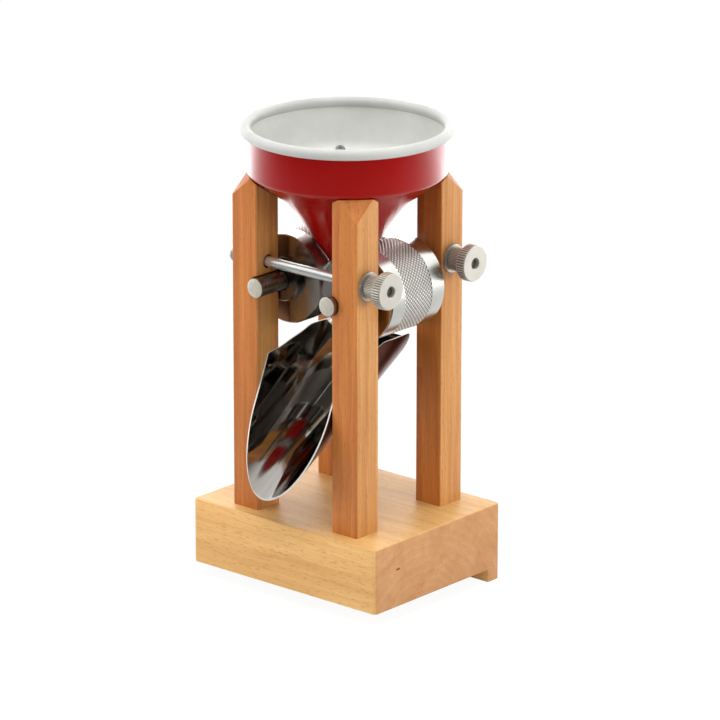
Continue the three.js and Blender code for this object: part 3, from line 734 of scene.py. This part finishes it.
def make_chute():
    along = Vector((math.cos(chute_slope), math.sin(chute_slope)))
    square = Vector((-math.sin(chute_slope), math.cos(chute_slope)))
    bow = (chute_tip + chute_corner) / 2 + Vector((2 * chute_front_bow, 0))
    quarter = chute_radius * math.pi / 2
    wall_top = (chute_corner - chute_tip).dot(square) - chute_radius

    def front_cut(t):
        return (1 - t) ** 2 * chute_tip + 2 * t * (1 - t) * bow + t * t * chute_corner

    def place(across, down):
        reach = abs(across) * (quarter + wall_top)
        angle = min(reach, quarter) / chute_radius
        x = math.copysign(chute_radius * math.sin(angle), across)
        depth = -chute_radius * math.cos(angle) + max(0.0, reach - quarter)
        rise = depth + chute_radius
        t = halved(0.0, 1.0, lambda t: (front_cut(t) - chute_tip).dot(square) < rise)
        start = (front_cut(t) - chute_tip).dot(along)
        foot = chute_tip + square * rise
        end = (chute_back_y - foot.x) / along.x
        end = halved(start, max(start, end), lambda s: (foot + along * s).y < chute_side_top(
            (foot + along * s).x))
        point = foot + along * (start + (end - start) * down)
        return Vector((x, point.x, point.y))
    deselect()
    bpy.ops.mesh.primitive_grid_add(x_subdivisions=chute_grid[0], y_subdivisions=chute_grid[1], size=2)
    piece = begin("trough")
    for vertex in piece.data.vertices:
        vertex.co = place(vertex.co.x, (vertex.co.y + 1) / 2)

    def on_back(mesh, edge):
        return all(end.y > chute_back_y - chute_weld for end in edge_ends(mesh, edge))
    pick_all(piece)
    bpy.ops.mesh.remove_doubles(threshold=chute_weld)
    pick(piece, "EDGE", on_back)
    bpy.ops.mesh.edge_face_add()
    face_outwards(piece)
    lowest = min(piece.data.polygons, key=lambda face: face.center.z)
    if lowest.normal.z > 0:
        pick_all(piece)
        bpy.ops.mesh.flip_normals()
        deselect()
    finishes = (polished_sheet, painted_reflection_sheet, sheared_edge)
    rim = finishes.index(sheared_edge)
    dress(piece, finishes, lambda face: polished_sheet)
    apply_modifier(piece, "SOLIDIFY", thickness=chute_wall, offset=-1, use_even_offset=True,
                   material_offset_rim=rim)
    soften(piece, chute_rim_radius, 2, 50)
    smooth(piece, 30)

    def finish_of(face):
        if face.material_index == rim:
            return sheared_edge
        y = face.center.y
        inward = Vector((0, y - chute_radius / 4, chute_middle(y))) - face.center
        # Outer faces take the dark brown sheet, a painted reflection of the posts in shade.
        return polished_sheet if face.normal.dot(inward) > 0 else painted_reflection_sheet
    dress(piece, finishes, finish_of)
    hand_over(piece, "frame", ["chute"], "polished_sheet")


make_chute()

# Rollers: two turned steel cylinders with a broad band of fine diamond knurling and polished ends,
# each pressed on its own shaft. Their end faces show fine turning rings.
roller_radius = 35 * mm
roller_length = 60.6 * mm
roller_chamfer = 0.8 * mm
roller_bore = 7.8 * mm
knurl_width = 30.4 * mm
knurl_depth = 0.45 * mm
knurl_count = 66
knurl_rows = 9
knurl_near = 0.01 * mm
samples_per_diamond = 6
roller_ring_pitch = 0.45 * mm
roller_sides = {"drive": -1, "idler": 1}


def groove(share):
    """0 on a ridge and 1 in the middle between two."""
    return 1 - 2 * abs(share % 1 - 0.5)


def knurled_finish(name, ridge, worn, groove_shade):
    """Metal that stays bright on the ridges of its knurling and is darkened in the grooves with
    painted shade.
    """
    material, tree, shader = new_finish(name)
    depth = put(tree, "ShaderNodeAttribute", attribute_name="groove_depth").outputs["Fac"]
    cloud = noise(tree, stretched(tree, object_place(tree), (90, 90, 90)), 3)
    bright = blend_colours(tree, cloud, ridge, worn)
    # Painted shade: the deeper a point sits in a groove, the darker its colour.
    feed(tree, shader, {
        "Base Color": blend_colours(tree, ramp(tree, depth, 0.4, 1), bright, groove_shade),
        "Roughness": ramp(tree, depth, 0, 1, 0.28, 0.5), "Metallic": 0.6})
    return material


def sink_grooves(piece, centre, level, groove_at):
    """Sinks the surface towards the piece's axis. Level is the number of the level axis across it,
    and groove_at gives a point's share of a groove and the depth of that groove."""
    grooves = piece.data.attributes.new("groove_depth", "FLOAT", "POINT")
    for vertex in piece.data.vertices:
        out = vertex.co - centre
        radius = math.hypot(out[level], out.z)
        share, depth = groove_at(radius, math.atan2(out.z, out[level]) / (2 * math.pi), out)
        if share > 0:
            grooves.data[vertex.index].value = share
            shrink = (radius - depth * share) / radius
            out[level] *= shrink
            out.z *= shrink
            vertex.co = centre + out


# The last colour is the painted shade in the knurl's grooves.
knurled_steel = knurled_finish(
    "knurled_steel", colour(244, 242, 236), colour(228, 225, 217), colour(76, 71, 64))
band_steel = metal_finish("band_steel", colour(226, 226, 220), 0.24, 0.28, 20)


def make_roller(name, side):
    half = roller_length / 2
    knurl_half = knurl_width / 2
    rows = knurl_rows * samples_per_diamond
    margins = (knurl_half + knurl_depth, knurl_half + 1.5 * knurl_depth, half - roller_chamfer)
    outline = [
        (roller_bore, -half), (roller_radius - roller_chamfer, -half),
        *[(roller_radius, -margin) for margin in reversed(margins)],
        *[(roller_radius, knurl_width * k / rows - knurl_half) for k in range(rows + 1)],
        *[(roller_radius, margin) for margin in margins],
        (roller_radius - roller_chamfer, half), (roller_bore, half)]
    centre = roller_centre(side)
    piece = turned(name + "_cylinder", outline, knurl_count * samples_per_diamond, "Y", centre)

    def groove_at(radius, turn_share, out):
        if abs(out.y) > knurl_half + knurl_near or radius < roller_radius - knurl_near:
            return 0, 0
        round_share = turn_share * knurl_count
        along_share = out.y * knurl_rows / knurl_width
        return max(groove(round_share + along_share), groove(round_share - along_share)), knurl_depth
    sink_grooves(piece, centre, 0, groove_at)
    smooth(piece, 20)
    end_steel = metal_finish(
        name + "_roller_steel", colour(196, 193, 186), 0.15, 0.22, 90, ring_axis="Y",
        ring_centre=centre, ring_pitch=roller_ring_pitch, brushed=0.5)

    def finish_of(face):
        out = face.center - centre
        reach = math.hypot(out.x, out.z)
        if reach <= roller_radius - 2 * knurl_depth or abs(face.normal.y) >= 0.9:
            return end_steel
        return knurled_steel if abs(out.y) < knurl_half else band_steel
    dress(piece, (end_steel, band_steel, knurled_steel), finish_of)
    hand_over(piece, name, [name + "_roller"], "roller_steel")


for name, side in roller_sides.items():
    make_roller(name, side)

# Shafts and collars: ground steel bars through the rollers, with domed ends that stand out in front
# of the posts, and two turned collars each that keep the roller in the middle between the posts.
shaft_dome = 1.3 * mm
collar_chamfer = 0.6 * mm

bright_bar = metal_finish("bright_bar", colour(164, 157, 148), 0.24, 0.34, 120)
faced_end = metal_finish("faced_end", colour(204, 200, 186), 0.4, 0.5, 300, 0.35)
collar_steel = metal_finish("collar_steel", colour(166, 161, 154), 0.14, 0.24, 150)


def make_shaft(name, side):
    low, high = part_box(name + "_shaft")
    radius = (high.x - low.x) / 2
    front = [(radius * math.sin(a), low.y + shaft_dome * (1 - math.cos(a)))
             for a in (math.pi / 2 * k / 10 for k in range(11))]
    back = [(r, high.y - (y - low.y)) for r, y in reversed(front)]
    centre = roller_centre(side)
    piece = turned(name + "_axle", front + back, 64, "Y", centre)
    smooth(piece)
    dress(piece, (bright_bar, faced_end),
          lambda face: faced_end if abs(face.normal.y) > 0.7 else bright_bar)
    hand_over(piece, name, [name + "_shaft"], "polished_steel")


def make_ring(name, node, axis, centre, bore, chamfer):
    """A ring of the size of its node, with all four edges chamfered."""
    corner_low, corner_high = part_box(node)
    outer = (corner_high.z - corner_low.z) / 2
    low, high = [corner["XYZ".index(axis)] for corner in (corner_low, corner_high)]
    piece = turned(name, [
        (bore + chamfer, low), (outer - chamfer, low), (outer, low + chamfer),
        (outer, high - chamfer), (outer - chamfer, high), (bore + chamfer, high),
        (bore, high - chamfer), (bore, low + chamfer)], 96, axis, centre)
    smooth(piece, 30)
    return piece


for name, side in roller_sides.items():
    make_shaft(name, side)
    for end in ("front", "rear"):
        node = name + "_collar_" + end
        collar = make_ring(
            name + "_spacer_" + end, node, "Y", roller_centre(side), roller_bore, collar_chamfer)
        hand_over(collar, name, [node], "roller_steel", collar_steel)

# Tie rods: two polished 8 mm bars along X through the posts, threaded for the nuts.
# A domed cap nut hides the thread of the left end; a washer and a knurled nut sit on the right
# end, and turning the nut draws the posts and so the rollers together.
rod_radius = 4 * mm
rod_bevel = 0.5 * mm
thread_pitch = 1.25 * mm
thread_depth = 0.5 * mm
thread_length = 16 * mm
nut_neck_radius = 9 * mm
nut_bore_radius = 4.25 * mm
nut_mouth_bevel = 0.5 * mm
rod_end_inset = 2.4 * mm
nut_head_thickness = 8 * mm
nut_ridges = 44
nut_ridge_depth = 0.6 * mm
nut_neck_ridge_depth = 0.4 * mm
nut_bevel = 0.8 * mm
nut_foot_width = 0.5 * mm
nut_foot_height = 0.3 * mm
nut_near = 0.1 * mm
washer_play = 0.3 * mm
washer_chamfer = 0.35 * mm
cap_hex_length = 6.5 * mm
cap_dome_radius = 6 * mm
cap_dome_sink = 1 * mm
cap_shoulder = 0.3 * mm
cap_chamfer_height = 0.6 * mm
cap_corner_play = 0.1 * mm
cap_across = 13 * mm

rod_steel = metal_finish("rod_steel", colour(234, 238, 236), 0.24, 0.28, 20, 0.8)
sawn_steel = metal_finish("sawn_steel", colour(112, 106, 98), 0.4, 0.55, 900)
satin_nickel = metal_finish("satin_nickel", colour(206, 202, 192), 0.26, 0.36, 260, 0.8)
# The last colour is the painted shade in the grooves of the nut's ribs.
knurled_nickel = knurled_finish(
    "knurled_nickel", colour(216, 212, 202), colour(200, 195, 184), colour(66, 56, 48))


def make_rod(end, centre_y):
    low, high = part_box("tie_rod_" + end)
    thread_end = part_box("knurled_nut_" + end)[1].x - rod_end_inset
    turns = int(thread_length / thread_pitch)
    plain_end = thread_end - rod_bevel - turns * thread_pitch
    thread = []
    for k in range(turns):
        start = plain_end + k * thread_pitch
        thread += [(rod_radius, start), (rod_radius - thread_depth, start + thread_pitch / 2)]
    outline = [
        (0, low.x), (rod_radius - rod_bevel, low.x), (rod_radius, low.x + rod_bevel), *thread,
        (rod_radius, thread_end - rod_bevel), (rod_radius - rod_bevel, thread_end), (0, thread_end)]
    piece = turned("cross_rod_" + end, outline, 48, "X", (0, centre_y, rod_height))
    smooth(piece, 30)
    dress(piece, (rod_steel, sawn_steel),
          lambda face: sawn_steel if abs(face.normal.x) > 0.9 else rod_steel)
    hand_over(piece, "frame", ["tie_rod_" + end], "polished_steel")


def make_cap_nut(end, centre_y):
    low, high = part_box("cap_nut_" + end)
    face = high.x
    shoulder = face - cap_hex_length
    sunk = face - cap_dome_sink
    centre = Vector((0, centre_y, rod_height))
    hex_radius = cap_across / math.sqrt(3)
    corner_radius = hex_radius + cap_corner_play
    piece = add_rod("domed_nut_" + end, hex_radius, centre + Vector((face, 0, 0)),
                    centre + Vector((shoulder, 0, 0)), 6)
    chamfer = turned("cutter", [
        (0, shoulder), (cap_dome_radius + cap_shoulder, shoulder),
        (corner_radius, shoulder + cap_chamfer_height), (corner_radius, face), (0, face)],
        64, "X", centre)
    combine(piece, chamfer, "INTERSECT")
    dome = [(cap_dome_radius * math.cos(a), shoulder - (shoulder - low.x) * math.sin(a))
            for a in (math.pi / 2 * k / 14 for k in range(14))]
    cap = turned("cutter", [(0, sunk), (cap_dome_radius, sunk), *dome, (0, low.x)], 64, "X", centre)
    combine(piece, cap, "UNION")
    smooth(piece, 30)
    hand_over(piece, "frame", ["cap_nut_" + end], "nickel", satin_nickel)


def make_knurled_nut(end, centre_y):
    low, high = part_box("knurled_nut_" + end)
    head_radius = (high.z - low.z) / 2
    head_foot = high.x - nut_head_thickness
    outline = [
        (nut_bore_radius, low.x), (nut_neck_radius - nut_bevel, low.x),
        (nut_neck_radius, low.x + nut_bevel), (nut_neck_radius, head_foot - nut_foot_height),
        (nut_neck_radius + nut_foot_width, head_foot),
        (head_radius - nut_bevel, head_foot), (head_radius, head_foot + nut_bevel),
        (head_radius, high.x - nut_bevel), (head_radius - nut_bevel, high.x),
        (nut_bore_radius + nut_mouth_bevel, high.x), (nut_bore_radius, high.x - nut_mouth_bevel)]
    centre = Vector((0, centre_y, rod_height))
    piece = turned("ribbed_nut_" + end, outline, nut_ridges * samples_per_diamond, "X", centre)

    def groove_at(radius, turn_share, out):
        share = groove(turn_share * nut_ridges)
        if radius > head_radius - nut_bevel / 2:
            return share, nut_ridge_depth
        is_neck = abs(radius - nut_neck_radius) < nut_near
        return share if is_neck else 0, nut_neck_ridge_depth
    sink_grooves(piece, centre, 1, groove_at)
    smooth(piece, 30)
    hand_over(piece, "nut_" + end, ["knurled_nut_" + end], "nickel", knurled_nickel)


for end, side_y in (("front", -1), ("rear", 1)):
    centre_y = side_y * post_centre.y
    make_rod(end, centre_y)
    make_cap_nut(end, centre_y)
    washer = make_ring("disc_" + end, "nut_washer_" + end, "X", (0, centre_y, rod_height),
                       rod_radius + washer_play, washer_chamfer)
    hand_over(washer, "washer_" + end, ["nut_washer_" + end], "nickel", satin_nickel)
    make_knurled_nut(end, centre_y)

# Crank: a flat steel arm with a round hub on the back end of the left roller's shaft, clamped
# by a socket screw, and a turned wooden grip that runs loose on a shoulder screw.
crank_axis = roller_centre(-1)
crank_length = 75 * mm
crank_tip = crank_axis + Vector((0, 0, crank_length))
crank_tilt = math.radians(-20)
hub_radius = 10.5 * mm
hub_chamfer = 0.8 * mm
arm_end_radius = 8 * mm
arm_root_inset = 0.3 * mm
arm_thickness = 6 * mm
arm_edge_radius = 0.7 * mm
arm_cut_reach = 30 * mm
clamp_radius = 2.5 * mm
clamp_head_radius = 4 * mm
clamp_head_height = 4 * mm
clamp_chamfer = 0.5 * mm
clamp_socket_radius = 2.2 * mm
shaft_bore = 7.8 * mm
axle_radius = 4 * mm
axle_chamfer = 0.5 * mm
axle_head_radius = 6.5 * mm
axle_head_height = 3.2 * mm
axle_head_chamfer = 0.8 * mm
axle_slot_depth = 1.4 * mm
axle_slot_half_width = 0.8 * mm
grip_play = 0.35 * mm
grip_neck_radius = 8 * mm
grip_radius = 11 * mm
grip_length_shares = (0, 0.08, 0.3, 0.62, 0.9, 1)
grip_girth_shares = (0.15, 0.55, 0.9, 1, 0.85, 0.45)

arm_steel = metal_finish("arm_steel", colour(196, 197, 198), 0.26, 0.36, 110)
grip_wood = wood_finish(
    "grip_wood", "Y", *post_tones, post_end_tint, rings=0.3, flecks=0.3, fibres=0.3,
    pith=(0.06, 0.0, -0.2))


def lean(piece):
    """Turns an upright piece of the crank about the shaft to where the crank stands at rest."""
    turn = Matrix.Rotation(crank_tilt, 4, "Y")
    piece.data.transform(Matrix.Translation(crank_axis) @ turn @ Matrix.Translation(-crank_axis))


def make_crank_arm():
    low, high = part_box("crank_arm")
    hub = turned("arm", [
        (0, low.y), (hub_radius - hub_chamfer, low.y), (hub_radius, low.y + hub_chamfer),
        (hub_radius, high.y - hub_chamfer), (hub_radius - hub_chamfer, high.y), (0, high.y)],
        96, "Y", crank_axis)
    near = Vector((0, high.y - arm_thickness, 0))
    far = Vector((0, high.y, 0))
    bar = add_rod("bar", arm_end_radius, crank_tip + near, crank_tip + far, 96)
    pick(bar, "FACE", lambda mesh, face: face.normal.z < -0.02)
    spread = (hub_radius - arm_root_inset) / arm_end_radius
    bpy.ops.mesh.extrude_region_move(TRANSFORM_OT_translate={"value": (0, 0, -crank_length)})
    bpy.ops.transform.resize(value=(spread, 1, 1), center_override=tuple(crank_axis))
    deselect()
    soften(bar, arm_edge_radius, 3, 50)
    combine(hub, bar, "UNION")
    through = Vector((0, arm_cut_reach, 0))
    middle = Vector((0, high.y, 0))
    drill(hub, shaft_bore, crank_axis + middle, through, 64)
    drill(hub, axle_radius + seat_gap, crank_tip + middle, through, 48)
    smooth(hub, 30)
    lean(hub)
    hand_over(hub, "drive", ["crank_arm"], "roller_steel", arm_steel)


def make_crank_screw():
    low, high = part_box("crank_screw")
    middle = crank_axis + Vector((0, (low.y + high.y) / 2, 0))
    foot = -shaft_bore - seat_gap
    seat = -hub_radius - seat_gap
    crown = seat - clamp_head_height
    piece = turned("clamp_screw", [
        (0, crown), (clamp_head_radius - clamp_chamfer, crown),
        (clamp_head_radius, crown + clamp_chamfer), (clamp_head_radius, seat),
        (clamp_radius, seat), (clamp_radius, foot), (0, foot)], 48, "X", middle)
    cut_away(piece, add_rod("cutter", clamp_socket_radius, middle + Vector((crown - mm, 0, 0)),
                            middle + Vector((crown + clamp_head_height / 2, 0, 0)), 6))
    smooth(piece, 30)
    lean(piece)
    hand_over(piece, "drive", ["crank_screw"], "zinc_steel", zinc)


def make_grip():
    low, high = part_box("crank_grip")
    length = high.y - low.y
    line = smooth_line([
        Vector((grip_neck_radius + (grip_radius - grip_neck_radius) * girth_share,
                low.y + length * length_share))
        for length_share, girth_share in zip(grip_length_shares, grip_girth_shares)], 6)
    pocket = high.y - axle_head_height - seat_gap
    bore = axle_radius + grip_play
    head_bore = axle_head_radius + grip_play
    piece = turned("handle", [
        *line, (head_bore, high.y), (head_bore, pocket), (bore, pocket), (bore, low.y)],
        72, "Y", crank_tip)
    smooth(piece, 40)
    lean(piece)
    hand_over(piece, "grip", ["crank_grip"], "post_wood", grip_wood)
    low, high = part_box("grip_axle")
    head_foot = high.y - axle_head_height
    screw = turned("shoulder_screw", [
        (0, low.y), (axle_radius - axle_chamfer, low.y), (axle_radius, low.y + axle_chamfer),
        (axle_radius, head_foot), (axle_head_radius, head_foot),
        (axle_head_radius, high.y - axle_head_chamfer),
        (axle_head_radius - axle_head_chamfer, high.y), (0, high.y)], 64, "Y", crank_tip)
    slot_low = Vector((-axle_head_radius, high.y - axle_slot_depth, -axle_slot_half_width))
    slot_high = Vector((axle_head_radius, high.y + mm, axle_slot_half_width))
    cut_away(screw, add_box("cutter", crank_tip + slot_low, crank_tip + slot_high))
    smooth(screw, 30)
    lean(screw)
    hand_over(screw, "drive", ["grip_axle"], "zinc_steel", zinc)


make_crank_arm()
make_crank_screw()
make_grip()

# Screws that are mostly hidden: the long zinc plated ones up into the posts, and two low polished
# ones that hold the chute to the front posts. Their solids stay.
for name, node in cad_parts.items():
    if name.startswith(("post_screw", "chute_screw")):
        node.data.materials.clear()
        node.data.materials.append(zinc if name.startswith("post_screw") else polished_sheet)

# Studio: a pale floor under the block, a surround that matt surfaces see as plain light and mirrors
# as bright behind the object and dark on the camera's side, and three soft lamps.
# The camera stands where the photograph was taken from.
floor_height = block_low.z
floor_side = 12
camera_target = Vector((-1.86 * mm, 0.91 * mm, 170 * mm))
camera_distance = 3969 * mm
camera_lens = 260.25
camera_sensor = 36
camera_reach = 100
camera_shift = (0.0187, -0.0095)


def towards(azimuth, elevation):
    """The direction from the object to a place around it, in degrees, as the camera's is given."""
    turn, rise = math.radians(azimuth), math.radians(elevation)
    return Vector((math.cos(rise) * math.sin(turn), -math.cos(rise) * math.cos(turn), math.sin(rise)))


camera_side = towards(41.03, 17.68)
dark_ground = towards(34, 0)
dark_side = towards(26, 18)
left_panel = towards(-59, 40)
surround_strength = 4.0
overhead_strength = 0.9
panel_strength = 1.1
floor_strength = 3.2
plain_strength = 0.62
white = (1, 1, 1, 1)


def mix_shaders(tree, share, first, second):
    return put(tree, "ShaderNodeMixShader", {0: share, 1: first.outputs[0], 2: second.outputs[0]})


def make_floor():
    """Polished pieces mirror the floor as glaring behind the object and as dark in front of it."""
    deselect()
    bpy.ops.mesh.primitive_plane_add(size=floor_side, location=(0, 0, floor_height))
    piece = begin("floor")
    material, tree, shader = new_finish("pale_floor")
    feed(tree, shader, {"Base Color": (0.8, 0.8, 0.8, 1), "Roughness": 0.9, "Specular IOR Level": 0})
    glow = put(tree, "ShaderNodeEmission", {"Color": white, "Strength": 1.04})
    forward = vector_math(tree, "DOT_PRODUCT", object_place(tree), dark_ground)
    fading = sum_of(tree, ramp(tree, forward, -0.75, 0.9, 1, 0.15), 3.6, "POWER")
    mirrored = put(tree, "ShaderNodeEmission", {
        "Color": white, "Strength": product_of(tree, fading, floor_strength)})
    path = put(tree, "ShaderNodeLightPath").outputs
    plain = mix_shaders(tree, path["Is Glossy Ray"], shader, mirrored)
    mixed = mix_shaders(tree, product_of(tree, path["Is Camera Ray"], 0.9), plain, glow)
    feed(tree, tree.nodes["Material Output"], {"Surface": mixed.outputs[0]})
    piece.data.materials.append(material)


def make_surround():
    world = bpy.data.worlds.new("surround")
    bpy.context.scene.world = world
    world.use_nodes = True
    tree = world.node_tree
    direction = put(tree, "ShaderNodeTexCoord").outputs["Generated"]
    forward = vector_math(tree, "DOT_PRODUCT", direction, dark_side)
    leftward = vector_math(tree, "DOT_PRODUCT", direction, left_panel)
    grade = put(tree, "ShaderNodeValToRGB", {0: ramp(tree, forward, -1, 1)})
    grade.color_ramp.interpolation = "EASE"
    stops = grade.color_ramp.elements
    stops[0].position, stops[0].color = 0.14, (0.8, 0.8, 0.8, 1)
    stops[1].position, stops[1].color = 0.95, (0.006, 0.006, 0.006, 1)
    for position, level in ((0.27, 0.55), (0.4, 0.25), (0.5, 0.14), (0.66, 0.05)):
        stops.new(position).color = (level, level, level, 1)
    overhead = ramp(tree, split(tree, direction)["Z"], 0.8, 0.98, 0, overhead_strength)
    panel = ramp(tree, leftward, 0.8, 0.94, 0, panel_strength)
    around = product_of(tree, grade.outputs[0], surround_strength)
    mirrored = put(tree, "ShaderNodeBackground", {
        "Color": white, "Strength": sum_of(tree, sum_of(tree, around, overhead), panel)})
    plain = tree.nodes["Background"]
    feed(tree, plain, {"Color": white, "Strength": plain_strength})
    seen = put(tree, "ShaderNodeBackground", {"Color": white, "Strength": 1})
    path = put(tree, "ShaderNodeLightPath").outputs
    lit = mix_shaders(tree, path["Is Glossy Ray"], plain, mirrored)
    mixed = mix_shaders(tree, path["Is Camera Ray"], lit, seen)
    feed(tree, tree.nodes["World Output"], {"Surface": mixed.outputs[0]})


def stand(name, data, place, away):
    """Puts a lamp or a camera at its place; away is the direction that its back faces."""
    item = bpy.data.objects.new(name, data)
    bpy.context.scene.collection.objects.link(item)
    item.location = place
    item.rotation_euler = away.to_track_quat("Z", "Y").to_euler()
    return item


def add_lamp(name, place, width, height, power):
    data = bpy.data.lights.new(name, "AREA")
    data.shape = "RECTANGLE"
    data.size = width
    data.size_y = height
    data.energy = power
    lamp = stand(name, data, place, Vector(place) - camera_target)
    lamp.visible_glossy = False


def make_camera():
    data = bpy.data.cameras.new("camera")
    data.lens = camera_lens
    data.sensor_width = camera_sensor
    data.shift_x, data.shift_y = camera_shift
    data.clip_end = camera_reach
    bpy.context.scene.camera = stand(
        "camera", data, camera_target + camera_side * camera_distance, camera_side)


make_floor()
make_surround()
add_lamp("left_lamp", (-1.6, -1.3, 0.3), 1.2, 0.9, 24)
add_lamp("right_lamp", (1.9, 0.45, 0.3), 1.2, 0.9, 24)
add_lamp("top_lamp", (0.1, -0.3, 2.0), 1.5, 1.5, 30)
make_camera()
bpy.context.scene.view_settings.view_transform = "Standard"
bpy.context.view_layer.update()
